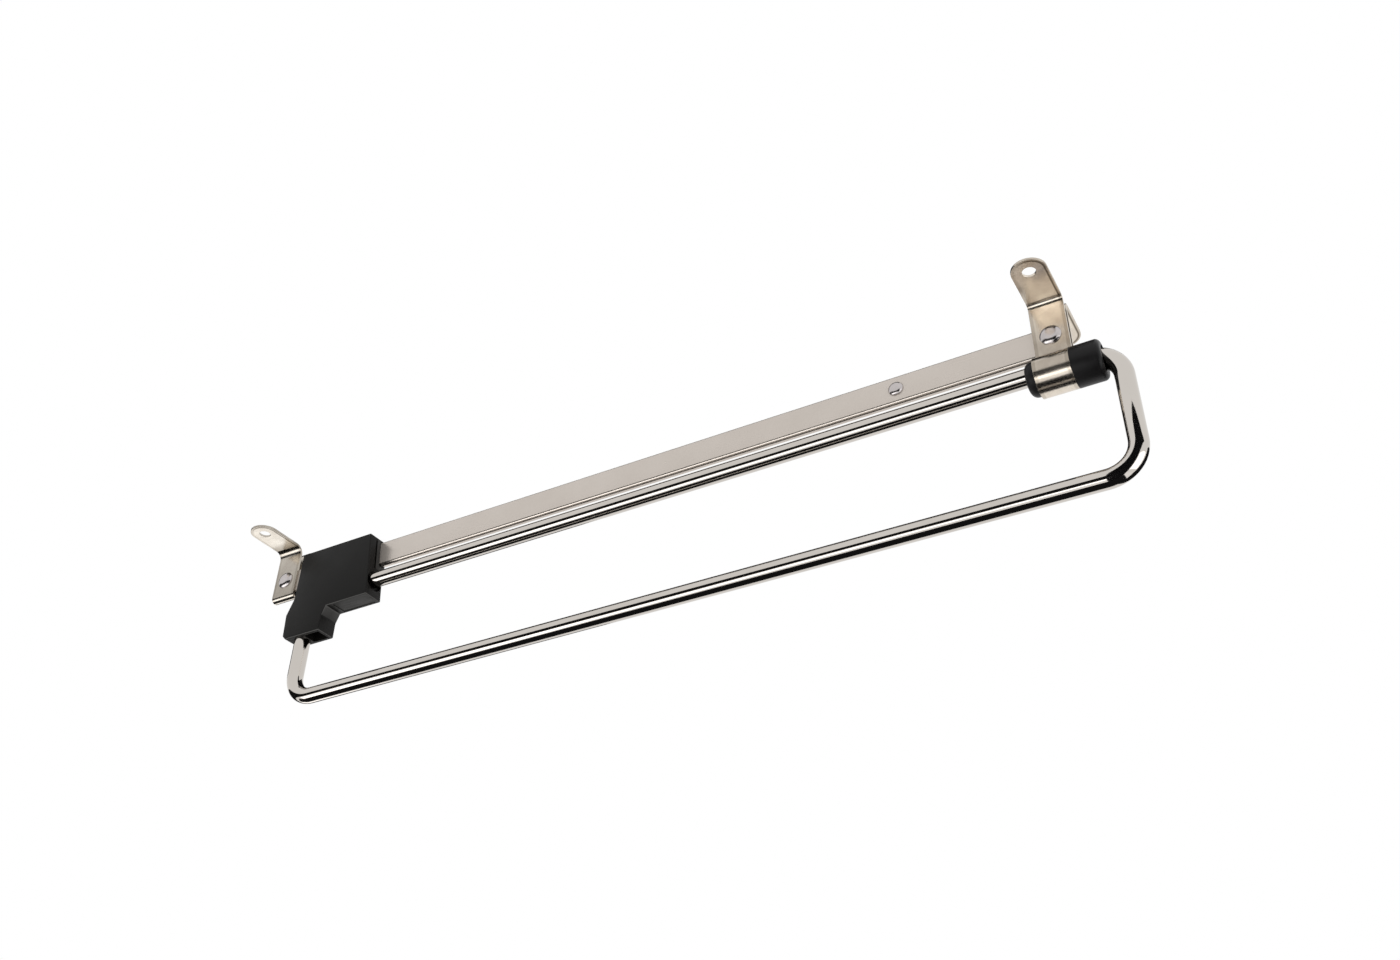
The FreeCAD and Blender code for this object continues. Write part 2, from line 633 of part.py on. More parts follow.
def cut_wire_channel(body, prefix):
    """Half channel for the wire, from the slider's front end to its foot."""
    section = sketch_on(body, prefix + "_channel", "YZ_Plane", "dims.slider_toe + 1")
    add_circle(section, "dims.rod_y", "dims.rod_z", "2 * dims.channel_radius")
    path = sketch_on(body, prefix + "_channel_path", "XZ_Plane", "dims.rod_y")
    bend_x = "dims.rear_leg + dims.hidden_bend"
    bend_z = "dims.rod_z - dims.hidden_bend"
    add_chain(path, [
        ("dims.slider_toe + 1", "dims.rod_z", bend_x, "dims.rod_z"),
        (bend_x, bend_z, "dims.hidden_bend", 90, 90),
        ("dims.rear_leg", bend_z, "dims.rear_leg", "dims.foot_z - 1"),
    ])
    path.addConstraint(Sketcher.Constraint("Horizontal", 0))
    path.addConstraint(Sketcher.Constraint("Vertical", 2))
    bind(path, "Radius", (1,), "dims.hidden_bend")
    bind(path, "DistanceX", (-1, 1, 0, 1), "dims.slider_toe + 1")
    bind(path, "DistanceY", (-1, 1, 0, 1), "dims.rod_z")
    bind(path, "DistanceX", (-1, 1, 2, 2), "dims.rear_leg")
    bind(path, "DistanceY", (-1, 1, 2, 2), "dims.foot_z - 1")
    add_sweep(body, prefix + "_channel_cut", "SubtractivePipe", section, path)

    mouth = sketch_on(body, prefix + "_mouth", "YZ_Plane", "dims.mouth_x")
    first = mouth.GeometryCount
    add_chain(mouth, [
        ("dims.rod_y - dims.mouth_radius", "dims.rod_z",
         "dims.rod_y - dims.mouth_radius", "dims.rod_z - dims.mouth_drop"),
        ("dims.rod_y", "dims.rod_z - dims.mouth_drop", "dims.mouth_radius", 180, 180),
        ("dims.rod_y + dims.mouth_radius", "dims.rod_z - dims.mouth_drop",
         "dims.rod_y + dims.mouth_radius", "dims.rod_z"),
        ("dims.rod_y", "dims.rod_z", "dims.mouth_radius", 0, 180),
    ], closed=True)
    mouth.addConstraint(Sketcher.Constraint("Vertical", first))
    mouth.addConstraint(Sketcher.Constraint("Vertical", first + 2))
    bind(mouth, "Radius", (first + 1,), "dims.mouth_radius")
    bind(mouth, "DistanceX", (-1, 1, first + 1, 3), "dims.rod_y")
    bind(mouth, "DistanceY", (-1, 1, first + 1, 3), "dims.rod_z - dims.mouth_drop")
    bind(mouth, "DistanceY", (-1, 1, first + 3, 3), "dims.rod_z")
    add_pocket(body, prefix + "_mouth_cut", mouth, "dims.slider_draft + 2", backwards=True)


def cut_foot_pocket(body, prefix, wall_y):
    """Moulding pocket in the foot, beside the wire and open at the bottom."""
    pocket = sketch_on(body, prefix + "_pocket", "XY_Plane", "dims.foot_z")
    add_polygon(pocket, [
        ("dims.pocket_left", "dims.rod_y"),
        ("dims.pocket_right", "dims.rod_y"),
        ("dims.pocket_right", wall_y),
        ("dims.pocket_left", wall_y),
    ])
    add_pocket(body, prefix + "_pocket_cut", pocket, "dims.pocket_depth", backwards=True)


def cut_screw_holes(body, prefix, level, diameter, length):
    holes = sketch_on(body, prefix, "XZ_Plane", level)
    add_circle(holes, "dims.screw_front_x", "dims.screw_front_z", diameter)
    add_circle(holes, "dims.screw_rear_x", "dims.screw_rear_z", diameter)
    add_pocket(body, prefix + "_cut", holes, length, backwards=True)


def slider_front_shell():
    body = new_body("slider_front_shell")
    outline = slider_outline(body, "front_shell_outline")
    add_pad(body, "front_shell_pad", outline, "dims.shell_thickness")
    face = size("rod_y") - size("shell_thickness")
    add_fillet(body, "front_shell_rounds", "dims.edge_round", lambda edge: flat_at(edge, "y", face))
    cut_wire_channel(body, "front_shell")
    cut_foot_pocket(body, "front_shell", "dims.rod_y - dims.shell_thickness + dims.pocket_wall")
    cut_screw_holes(body, "front_shell_holes", "dims.rod_y", "dims.thread_diameter",
                    "dims.rod_y - dims.thread_end")
    return body


def slider_rear_shell():
    body = new_body("slider_rear_shell")
    outline = slider_outline(body, "rear_shell_outline")
    add_pad(body, "rear_shell_pad", outline, "dims.shell_thickness", backwards=True)
    hump = sketch_on(body, "rear_shell_hump", "XZ_Plane", "dims.rod_y")
    add_polygon(hump, [
        ("dims.slider_left", "dims.slider_top"),
        ("dims.slider_right", "dims.slider_top"),
        ("dims.hump_right", "dims.hump_z"),
        ("dims.slider_left", "dims.hump_z"),
    ])
    add_pad(body, "rear_shell_hump_pad", hump, "dims.hump_back - dims.rod_y", backwards=True)
    add_fillet(body, "rear_shell_rounds", "dims.edge_round",
               lambda edge: flat_at(edge, "y", size("hump_back")))
    slot = sketch_on(body, "rail_slot", "YZ_Plane")
    add_polygon(slot, [
        ("dims.rail_front - dims.slot_clearance", "dims.rail_top + dims.slot_clearance"),
        ("dims.rail_back + dims.slot_clearance", "dims.rail_top + dims.slot_clearance"),
        ("dims.rail_back + dims.slot_clearance", "dims.rail_bottom - dims.slot_clearance"),
        ("dims.rail_front - dims.slot_clearance", "dims.rail_bottom - dims.slot_clearance"),
    ])
    add_pocket(body, "rail_slot_cut", slot, "2 * dims.loop_length", centred=True)
    cut_wire_channel(body, "rear_shell")
    cut_foot_pocket(body, "rear_shell", "dims.shell_back - dims.pocket_wall")
    cut_screw_holes(body, "rear_shell_holes", "dims.shell_back",
                    "dims.thread_diameter + 2 * dims.screw_clearance", "dims.shell_thickness + 1")
    cut_screw_holes(body, "rear_shell_seats", "dims.shell_back",
                    "dims.cap_diameter + 2 * dims.screw_clearance", "dims.cap_height")
    return body


# Slider screws: two small pan-head screws from the back, threaded into the front half.
def slider_screws():
    screws = []
    for place in ("front", "rear"):
        parts = []
        spans = (("shank", "thread_diameter", "shell_back - dims.thread_end - dims.cap_height / 2"),
                 ("cap", "cap_diameter", "cap_height"))
        for kind, diameter, length in spans:
            cylinder = doc.addObject("Part::Cylinder", "screw_%s_%s" % (place, kind))
            cylinder.setExpression("Radius", "dims.%s / 2" % diameter)
            cylinder.setExpression("Height", "dims." + length)
            start = "dims.thread_end" if kind == "shank" else "dims.shell_back - dims.cap_height"
            turn = FreeCAD.Rotation(FreeCAD.Vector(1, 0, 0), -90)
            cylinder.Placement = FreeCAD.Placement(FreeCAD.Vector(), turn)
            cylinder.setExpression("Placement.Base.x", "dims.screw_%s_x" % place)
            cylinder.setExpression("Placement.Base.y", start)
            cylinder.setExpression("Placement.Base.z", "dims.screw_%s_z" % place)
            parts.append(cylinder)
        screw = doc.addObject("Part::MultiFuse", "screw_" + place)
        screw.Shapes = parts
        screws.append(screw)
    pair = doc.addObject("Part::Compound", "slider_screws")
    pair.Label = "slider_screws"
    pair.Links = screws
    doc.recompute()
    return pair


def check_document():
    for item in doc.Objects:
        bad = [state for state in item.State if state in ("Invalid", "Error")]
        if bad:
            raise RuntimeError("%s is %s" % (item.Label, ", ".join(bad)))


def export(node):
    shape = node.Shape
    if shape.isNull() or not shape.isValid() or not shape.Solids:
        raise RuntimeError(node.Label + " has no sound solid")
    shape.exportStep("parts/%s.step" % node.Label)
    box = shape.BoundBox
    print("%-20s %d solid(s)  x %8.2f %8.2f  y %7.2f %7.2f  z %7.2f %7.2f" % (
        node.Label, len(shape.Solids), box.XMin, box.XMax, box.YMin, box.YMax, box.ZMin, box.ZMax))


fill_sheet()
nodes = [
    guide_rail(),
    rear_bracket(),
    front_bracket(),
    bracket_rivet("rear_rivet", "rear_column"),
    bracket_rivet("front_rivet", "front_column"),
    stop_rivet(),
    front_bushing(),
    slider_front_shell(),
    slider_rear_shell(),
    slider_screws(),
    wire_run("wire_rod", "dims.rod_z", "dims.rear_leg + dims.hidden_bend", "dims.front_bend_start"),
    wire_end("wire_front_end", "dims.front_leg", "dims.front_bend", 1),
    wire_run("wire_bar", "dims.bar_z", "dims.rear_leg + dims.lower_bend", "dims.bar_end"),
    wire_end("wire_rear_end", "dims.rear_leg", "dims.hidden_bend", -1),
]
doc.recompute()
check_document()
for node in nodes:
    export(node)
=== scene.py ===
import math

import bmesh
import bpy
from mathutils import Matrix, Vector


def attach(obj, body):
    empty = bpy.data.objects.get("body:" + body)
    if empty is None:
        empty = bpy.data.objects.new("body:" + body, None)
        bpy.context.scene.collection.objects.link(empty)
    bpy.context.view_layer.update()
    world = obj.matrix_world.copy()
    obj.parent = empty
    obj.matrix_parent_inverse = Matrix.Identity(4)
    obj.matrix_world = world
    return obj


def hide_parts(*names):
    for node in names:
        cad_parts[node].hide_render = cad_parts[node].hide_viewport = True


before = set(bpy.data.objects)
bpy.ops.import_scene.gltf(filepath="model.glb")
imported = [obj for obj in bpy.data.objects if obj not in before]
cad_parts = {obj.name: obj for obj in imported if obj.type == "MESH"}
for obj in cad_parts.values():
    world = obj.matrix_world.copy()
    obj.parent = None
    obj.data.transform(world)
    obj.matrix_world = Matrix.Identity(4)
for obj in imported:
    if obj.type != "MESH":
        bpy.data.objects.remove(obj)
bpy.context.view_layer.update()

MM = 0.001


# ---------------------------------------------------------------------------------------------
# Guide rail. A flat C rolled from thin steel sheet, nickel plated, with its web to the front
# and its two short flanges to the back. It hangs between the two brackets.
def carry(bm, outline, moves, place, axis):
    """Draws an open outline along straight runs and round bends that lie in one plane."""
    for kind, *numbers in moves:
        drift, centre, angle, steps = Vector(), Vector(), 0, 1
        if kind == "run":
            drift = place(*numbers) * MM
        else:
            centre = place(*numbers[:2]) * MM
            angle = math.radians(numbers[2])
            steps = max(4, round(abs(numbers[2]) / 6))
        outline = bmesh.ops.spin(
            bm, geom=outline, cent=centre, axis=axis, dvec=drift, angle=angle, steps=steps,
            use_merge=False, use_normal_flip=False, use_duplicate=False)["geom_last"]
    return outline


def across(y, z):
    """Point in the plane across the rail."""
    return Vector((0, y, z))


def make_piece(name, bm, body, nodes, material, smooth_below=35):
    """Turns a finished bmesh into a smooth-shaded piece that stands for its CAD nodes."""
    mesh = bpy.data.meshes.new(name)
    bm.normal_update()
    bm.to_mesh(mesh)
    bm.free()
    mesh.shade_smooth()
    mesh.set_sharp_from_angle(angle=math.radians(smooth_below))
    piece = bpy.data.objects.new(name, mesh)
    bpy.context.scene.collection.objects.link(piece)
    piece.data.materials.append(material)
    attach(piece, body)
    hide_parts(*nodes)
    return piece


def thicken(piece, thickness, edge):
    """Gives a sheet its thickness about its middle and breaks its cut edges."""
    wall = piece.modifiers.new("sheet", "SOLIDIFY")
    wall.thickness = thickness * MM
    wall.offset = 0
    wall.use_even_offset = True
    soften(piece, edge, 40)


def soften(piece, width, angle):
    """Small radius on every edge sharper than an angle, with shading that stays flat beside it."""
    bevel = piece.modifiers.new("edges", "BEVEL")
    bevel.width = width * MM
    bevel.segments = 2
    bevel.limit_method = "ANGLE"
    bevel.angle_limit = math.radians(angle)
    bevel.harden_normals = True


def new_material(name):
    """Material with its node tree and its shader."""
    material = bpy.data.materials.new(name)
    material.use_nodes = True
    tree = material.node_tree
    return material, tree, tree.nodes["Principled BSDF"]


def ramp(tree, source, stops):
    """Colour ramp on a value, from a list of (position, colour)."""
    node = tree.nodes.new("ShaderNodeValToRGB")
    while len(node.color_ramp.elements) < len(stops):
        node.color_ramp.elements.new(0.5)
    for element, (position, colour) in zip(node.color_ramp.elements, stops):
        element.position = position
        element.color = (*colour, 1)
    tree.links.new(source, node.inputs["Fac"])
    return node.outputs["Color"]


def grey(level):
    """Colour with no hue."""
    return (level, level, level)


def axes_of(tree, source):
    """Object coordinates or object normal of a surface, split into X, Y and Z."""
    place = tree.nodes.new("ShaderNodeTexCoord")
    split = tree.nodes.new("ShaderNodeSeparateXYZ")
    tree.links.new(place.outputs[source], split.inputs[0])
    return split.outputs


def spread(tree, value, low, high, bottom=0, top=1, curve="LINEAR"):
    """Stretches what a value does between low and high over bottom to top."""
    node = tree.nodes.new("ShaderNodeMapRange")
    node.interpolation_type = curve
    ends = {"From Min": low, "From Max": high, "To Min": bottom, "To Max": top}
    for title, number in ends.items():
        node.inputs[title].default_value = number
    tree.links.new(value, node.inputs["Value"])
    return node.outputs["Result"]


def plate_group():
    """Soft grain of a plated sheet: drawn lines along one axis over slow clouds of tone."""
    group = bpy.data.node_groups.new("plated grain", "ShaderNodeTree")
    face = group.interface
    for title, kind, default in (("Line Scale", "NodeSocketFloat", 1.0),
                                 ("Stretch", "NodeSocketVector", (1.0, 1.0, 1.0)),
                                 ("Cloud Scale", "NodeSocketFloat", 60.0)):
        face.new_socket(name=title, in_out="INPUT", socket_type=kind).default_value = default
    for title in ("Lines", "Clouds", "Pits"):
        face.new_socket(name=title, in_out="OUTPUT", socket_type="NodeSocketFloat")
    nodes, links = group.nodes, group.links
    inside = nodes.new("NodeGroupInput")
    outside = nodes.new("NodeGroupOutput")
    place = nodes.new("ShaderNodeTexCoord")
    squeeze = nodes.new("ShaderNodeVectorMath")
    squeeze.operation = "MULTIPLY"
    links.new(place.outputs["Object"], squeeze.inputs[0])
    links.new(inside.outputs["Stretch"], squeeze.inputs[1])
    lines = nodes.new("ShaderNodeTexNoise")
    lines.inputs["Detail"].default_value = 3
    links.new(squeeze.outputs[0], lines.inputs["Vector"])
    links.new(inside.outputs["Line Scale"], lines.inputs["Scale"])
    clouds = nodes.new("ShaderNodeTexNoise")
    clouds.inputs["Detail"].default_value = 4
    links.new(place.outputs["Object"], clouds.inputs["Vector"])
    links.new(inside.outputs["Cloud Scale"], clouds.inputs["Scale"])
    pits = nodes.new("ShaderNodeTexNoise")
    pits.inputs["Scale"].default_value = 2600
    pits.inputs["Detail"].default_value = 2
    links.new(place.outputs["Object"], pits.inputs["Vector"])
    links.new(lines.outputs["Fac"], outside.inputs["Lines"])
    links.new(clouds.outputs["Fac"], outside.inputs["Clouds"])
    links.new(pits.outputs["Fac"], outside.inputs["Pits"])
    return group


plated_grain = plate_group()


def grained(tree, line_scale, cloud_scale, stretch=(1, 1, 1)):
    """Places the plated grain in a material, at the material's own scales."""
    grain = tree.nodes.new("ShaderNodeGroup")
    grain.node_tree = plated_grain
    grain.inputs["Line Scale"].default_value = line_scale
    grain.inputs["Cloud Scale"].default_value = cloud_scale
    grain.inputs["Stretch"].default_value = stretch
    return grain.outputs


def rippled(tree, height, strength, depth):
    """Shallow relief from a height, on the shader's normal."""
    bump = tree.nodes.new("ShaderNodeBump")
    bump.inputs["Strength"].default_value = strength
    bump.inputs["Distance"].default_value = depth * MM
    tree.links.new(height, bump.inputs["Height"])
    tree.links.new(bump.outputs["Normal"], tree.nodes["Principled BSDF"].inputs["Normal"])


def plated(name, dark, light, rough, line_scale, stretch, cloud_scale, bump):
    """Satin plated steel: tone and gloss wander between two values, grain only ripples it."""
    material, tree, shader = new_material(name)
    grain = grained(tree, line_scale, cloud_scale, stretch)
    tone = ramp(tree, grain["Clouds"], [(0.3, dark), (0.7, light)])
    tree.links.new(tone, shader.inputs["Base Color"])
    gloss = ramp(tree, grain["Lines"], [(0.25, grey(rough[0])), (0.75, grey(rough[1]))])
    tree.links.new(gloss, shader.inputs["Roughness"])
    rippled(tree, grain["Lines"], strength=bump, depth=0.02)
    shader.inputs["Metallic"].default_value = 1
    return material


rail_half_length = 189.25
rail_top, rail_bottom = -11.6, -24.4
rail_front, rail_back = -1.3, 1.3
rail_sheet = 0.8
rail_bend = 1.1

rail_plate = plated(
    "rail nickel", dark=(0.565, 0.51, 0.46), light=(0.60, 0.545, 0.495), rough=(0.22, 0.28),
    line_scale=900, stretch=(0.02, 1.0, 1.0), cloud_scale=45, bump=0.10)
tree = rail_plate.node_tree
# The web has a satin face, and the lower bend, which faces down, is as bright as it was rolled.
half_metal = spread(tree, axes_of(tree, "Normal")["Z"], -0.1, -0.35, bottom=0.5)
tree.links.new(half_metal, tree.nodes["Principled BSDF"].inputs["Metallic"])
bm = bmesh.new()
back_edge = rail_top - rail_sheet / 2
web_middle = rail_front + rail_sheet / 2
ends = [bm.verts.new(Vector((end_x, rail_back, back_edge)) * MM)
        for end_x in (rail_half_length, -rail_half_length)]
flange = ends + [bm.edges.new(ends)]
flange_run = web_middle + rail_bend - rail_back
web_run = rail_bottom - rail_top + rail_sheet + 2 * rail_bend
carry(bm, flange, [
    ("run", flange_run, 0),
    ("turn", web_middle + rail_bend, back_edge - rail_bend, 90),
    ("run", 0, web_run),
    ("turn", web_middle + rail_bend, rail_bottom + rail_sheet / 2 + rail_bend, 90),
    ("run", -flange_run, 0),
], across, (1, 0, 0))
guide_rail = make_piece("guide_rail_channel", bm, "mounting",
                        ["guide_rail"], rail_plate)
thicken(guide_rail, rail_sheet, edge=0.1)


# ---------------------------------------------------------------------------------------------
# Bracket straps. Punched nickel-plated strips with half-round ears, each with a screw hole.
# They are folded down both sides of the rail; the rear one turns back up under it and the
# front one is rolled round the bushing.
strap_half = 6.5
strap_thickness = 1.0
ear_row = 20.0
ear_hole = 2.5
column = 183.75
plate_y = rail_back + strap_thickness / 2
ear_z = -strap_thickness / 2
hole_steps = 48


def ear(bm, middle_x, side, bend_line):
    """Flat ear with its screw hole; returns its edge along the bend line."""
    centre = Matrix.Translation(Vector((middle_x, side * ear_row, ear_z)) * MM)
    loops = []
    for radius in (ear_hole, strap_half):
        loops.append(bmesh.ops.create_circle(
            bm, segments=hole_steps, radius=radius * MM, matrix=centre)["verts"])
    rim = loops[1]
    quarter = hole_steps // 8
    reach = ear_row - bend_line
    for corner in rim:
        x = corner.co.x / MM - middle_x
        inward = side * (side * ear_row - corner.co.y / MM)
        if inward < 1e-6:
            continue
        step = round(math.degrees(math.atan2(inward, x)) * hole_steps / 360)
        if step <= quarter:
            place = (strap_half, reach * step / quarter)
        elif step >= 3 * quarter:
            place = (-strap_half, reach * (4 * quarter - step) / quarter)
        else:
            place = (strap_half * (2 - step / quarter), reach)
        corner.co.x = (middle_x + place[0]) * MM
        corner.co.y = side * (ear_row - place[1]) * MM
    edges = []
    for loop in loops:
        edges += dict.fromkeys(edge for corner in loop for edge in corner.link_edges)
    bmesh.ops.bridge_loops(bm, edges=edges)
    line = side * bend_line * MM
    inner = [corner for corner in rim if abs(corner.co.y - line) < 1e-7]
    return inner + [edge for edge in bm.edges if all(corner in inner for corner in edge.verts)]


def strap(name, node, middle_x, bend, front_low, lower_fold, back_low):
    """One strap: front ear, plate, fold under the rail, back plate, back ear."""
    bm = bmesh.new()
    bend_line = plate_y + bend
    bend_z = ear_z - bend
    start = ear(bm, middle_x, -1, bend_line)
    ear(bm, middle_x, 1, bend_line)
    moves = [("turn", -bend_line, bend_z, -90), ("run", 0, front_low - bend_z)]
    moves += lower_fold + [("run", 0, bend_z - back_low), ("turn", bend_line, bend_z, -90)]
    carry(bm, start, moves, across, (1, 0, 0))
    bmesh.ops.remove_doubles(bm, verts=bm.verts, dist=0.02 * MM)
    bmesh.ops.recalc_face_normals(bm, faces=bm.faces)
    piece = make_piece(name, bm, "mounting", [node], strap_plate)
    thicken(piece, strap_thickness, edge=0.12)


def calculate(tree, operation, *values):
    """Math node on values that vary over the surface and on plain numbers."""
    node = tree.nodes.new("ShaderNodeMath")
    node.operation = operation
    for value, socket in zip(values, node.inputs):
        if isinstance(value, (int, float)):
            socket.default_value = value
        else:
            tree.links.new(value, socket)
    return node.outputs[0]


def overlap(tree, mask, *others):
    """Mask of the places where all the masks show."""
    for other in others:
        mask = calculate(tree, "MULTIPLY", mask, other)
    return mask


def tinted(tree, mask, tint, blend="MULTIPLY"):
    """Tints a material's colour, with all that it has so far, where a mask shows."""
    colour = tree.nodes["Principled BSDF"].inputs["Base Color"]
    mix = tree.nodes.new("ShaderNodeMix")
    mix.data_type = "RGBA"
    mix.blend_type = blend
    factor, before, after = mix.inputs[0], mix.inputs[6], mix.inputs[7]
    after.default_value = (*tint, 1)
    tree.links.new(mask, factor)
    tree.links.new(colour.links[0].from_socket, before)
    tree.links.new(mix.outputs[2], colour)


def beside_outline(tree, reach, stops):
    """Ramp on the way in from a strap's outline, from a list of (millimetres, level)."""
    return ramp(tree, reach, [((strap_half - inside) / 10, grey(level)) for inside, level in stops])


strap_plate = plated(
    "strap nickel", dark=(0.60, 0.53, 0.45), light=(0.78, 0.71, 0.615), rough=(0.18, 0.25),
    line_scale=500, stretch=(0.25, 1.0, 0.12), cloud_scale=130, bump=0.2)
tree = strap_plate.node_tree
spot = axes_of(tree, "Object")
end = calculate(tree, "SIGN", spot["X"])
sideways = calculate(tree, "MULTIPLY_ADD", end, -column * MM, spot["X"])
from_middle = calculate(tree, "ABSOLUTE", spot["Y"])
ear_tip = 10
past_hole = spread(tree, from_middle, ear_row * MM, (ear_row + ear_tip) * MM, top=ear_tip * MM)
offset = tree.nodes.new("ShaderNodeCombineXYZ")
tree.links.new(calculate(tree, "ABSOLUTE", sideways), offset.inputs["X"])
tree.links.new(past_hole, offset.inputs["Y"])
radial = tree.nodes.new("ShaderNodeVectorMath")
radial.operation = "LENGTH"
tree.links.new(offset.outputs[0], radial.inputs[0])
centimetres = calculate(tree, "MULTIPLY", radial.outputs["Value"], 100)
# Painted shade: the rear strap's ear is darkened beside its bend, in the crease.
bend_shade_reach = spread(tree, from_middle, 11.0 * MM, 6.0 * MM, curve="SMOOTHSTEP")
top_face = spread(tree, spot["Z"], -2.2 * MM, -1.2 * MM)
right_half = spread(tree, sideways, -4 * MM, 1 * MM)
rear_strap = spread(tree, end, 1, -1)
upright = calculate(tree, "ABSOLUTE", axes_of(tree, "Normal")["Y"])
# Painted shade: the upright plates are darker towards the bottom.
low_plate_shade = overlap(tree, spread(tree, upright, 0.9, 0.98),
                    spread(tree, spot["Z"], 1 * MM, -19 * MM))
# Painted shade: the outer millimetre inside the outline is darkened for the rolled-over edge.
rolled_border_shade = beside_outline(tree, centimetres, [(1.5, 0), (1.1, 0.45)])
# Painted shade: a dark line just inside the ears' outline, on one side only, for the punching burr.
burr_shade_line = beside_outline(tree, centimetres, [(1.35, 0), (1.0, 1), (0.75, 1), (0.45, 0)])
# Painted shade: the rolled-over border is darkened, a dark line is painted inside the ears' outline
# on one side for the punching burr, the rear strap's ear is darker in its bend and the plates are
# painted darker towards the bottom. The rear strap is a shade cooler.
tinted(tree, rolled_border_shade, (0.52, 0.50, 0.47))
tinted(tree, overlap(tree, top_face, burr_shade_line, right_half), (0.30, 0.28, 0.25))
tinted(tree, overlap(tree, bend_shade_reach, top_face, rear_strap), (0.60, 0.58, 0.55))
tinted(tree, low_plate_shade, (0.66, 0.65, 0.64))
tinted(tree, rear_strap, (0.80, 0.82, 0.84))

fold_clearance = 0.3
fold_z = rail_bottom - fold_clearance
strap("rear_bracket_strap", "rear_bracket", -column, bend=4.0, front_low=fold_z,
      lower_fold=[("turn", 0, fold_z, 180)], back_low=fold_z)

rod_y, rod_z = -3.5, -33.5
ring_drop = 1.8
ring_z = rod_z - ring_drop
ring_radius = 7.0
front_valley, back_valley = 3.1, 2.0
front_valley_y = -plate_y - front_valley
back_valley_y = plate_y + back_valley
front_rise = math.sqrt((ring_radius + front_valley) ** 2 - (front_valley_y - rod_y) ** 2)
back_rise = math.sqrt((ring_radius + back_valley) ** 2 - (back_valley_y - rod_y) ** 2)
front_angle = math.degrees(math.atan2(front_rise, front_valley_y - rod_y))
back_angle = math.degrees(math.atan2(back_rise, back_valley_y - rod_y))
ring_wrap = [
    ("turn", front_valley_y, ring_z + front_rise, front_angle - 180),
    ("turn", rod_y, ring_z, 360 + back_angle - front_angle),
    ("turn", back_valley_y, ring_z + back_rise, -back_angle),
]
strap("front_bracket_strap", "front_bracket", column, bend=2.5, front_low=ring_z + front_rise,
      lower_fold=ring_wrap, back_low=ring_z + back_rise)


# ---------------------------------------------------------------------------------------------
# Rivets. Steel rivets set cold through strap and rail, bright plated: a low domed head in
# front, a flattened tail behind. The smaller one in the rail's web stops the slider.
def lathe(start, moves, steps=64):
    """Turned solid about the Y axis, from a profile of (radius, depth) that ends on the axis."""
    bm = bmesh.new()
    tip = [bm.verts.new(Vector((*start, 0)) * MM)]
    carry(bm, tip, moves, lambda radius, depth: Vector((radius, depth, 0)), (0, 0, 1))
    bmesh.ops.spin(
        bm, geom=bm.verts[:] + bm.edges[:], cent=(0, 0, 0), axis=(0, 1, 0), dvec=(0, 0, 0),
        angle=math.tau, steps=steps, use_merge=True, use_normal_flip=False, use_duplicate=False)
    bmesh.ops.remove_doubles(bm, verts=bm.verts, dist=0.002 * MM)
    bmesh.ops.recalc_face_normals(bm, faces=bm.faces)
    return bm


def shift(bm, x, y, z, turn=None):
    """Moves a solid into place, after an optional turn."""
    move = Matrix.Translation(Vector((x, y, z)) * MM)
    bmesh.ops.transform(bm, matrix=move @ turn if turn else move, verts=bm.verts)


def bright_plate(name, tone, rough):
    """Bright nickel: nearly a mirror, with cold-set wrinkles and a haze of fine scratches."""
    material, tree, shader = new_material(name)
    grain = grained(tree, line_scale=700, cloud_scale=420)
    worn = tuple(0.92 * part for part in tone)
    colour = ramp(tree, grain["Clouds"], [(0.35, worn), (0.65, tone)])
    tree.links.new(colour, shader.inputs["Base Color"])
    gloss = ramp(tree, grain["Pits"], [(0.3, grey(rough[0])), (0.7, grey(rough[1]))])
    tree.links.new(gloss, shader.inputs["Roughness"])
    rippled(tree, grain["Clouds"], strength=0.5, depth=0.08)
    shader.inputs["Metallic"].default_value = 1
    return material


def rivet(name, node, x, z, seat, grip, head, crown, shank, tail):
    """One rivet: flat-topped dome, shank through what it grips, rounded tail."""
    rim, tail_height, tail_round = 0.3, 0.7, 0.4
    rise = crown - rim
    flat = 0.4 * head / 2
    sweep = 2 * math.degrees(math.atan2(rise, head / 2 - flat))
    dome = (head / 2 - flat) / math.sin(math.radians(sweep))
    solid = lathe((0, -crown), [
        ("run", flat, 0),
        ("turn", flat, dome - crown, sweep),
        ("run", 0, rim),
        ("run", (shank - head) / 2, 0),
        ("run", 0, grip),
        ("run", (tail - shank) / 2, 0),
        ("run", 0, tail_height - tail_round),
        ("turn", tail / 2 - tail_round, grip + tail_height - tail_round, 90),
        ("run", tail_round - tail / 2, 0),
    ])
    shift(solid, x, seat, z)
    make_piece(name, solid, "mounting", [node], rivet_plate)


rivet_plate = bright_plate("rivet nickel", tone=(0.53, 0.495, 0.49), rough=(0.14, 0.24))
plate_front = rail_front - strap_thickness
stack = rail_back - rail_front + 2 * strap_thickness
rivet_drop, stop_drop = 5.2, 6.4
rivet_z = rail_top - rivet_drop
for name, node, x in (("rear_rivet_head", "rear_rivet", -column),
                      ("front_rivet_head", "front_rivet", column)):
    rivet(name, node, x, rivet_z, plate_front, stack, head=8.0, crown=1.5, shank=4.0, tail=6.0)
stop_x = 123.85
stop_z = rail_top - stop_drop
rivet("stop_rivet_head", "stop_rivet", stop_x, stop_z, rail_front, rail_sheet,
      head=6.0, crown=1.3, shank=3.0, tail=4.4)


# ---------------------------------------------------------------------------------------------
# Front bushing. A black moulded sleeve pressed into the front strap's loop, with a thick head
# to the front and a rounded collar behind. Its bore lies above its middle and opens
# downwards at the mouth, where the loop's bend comes to rest.
def along(x, z):
    """Point in the middle plane of the wire."""
    return Vector((x, 0, z))


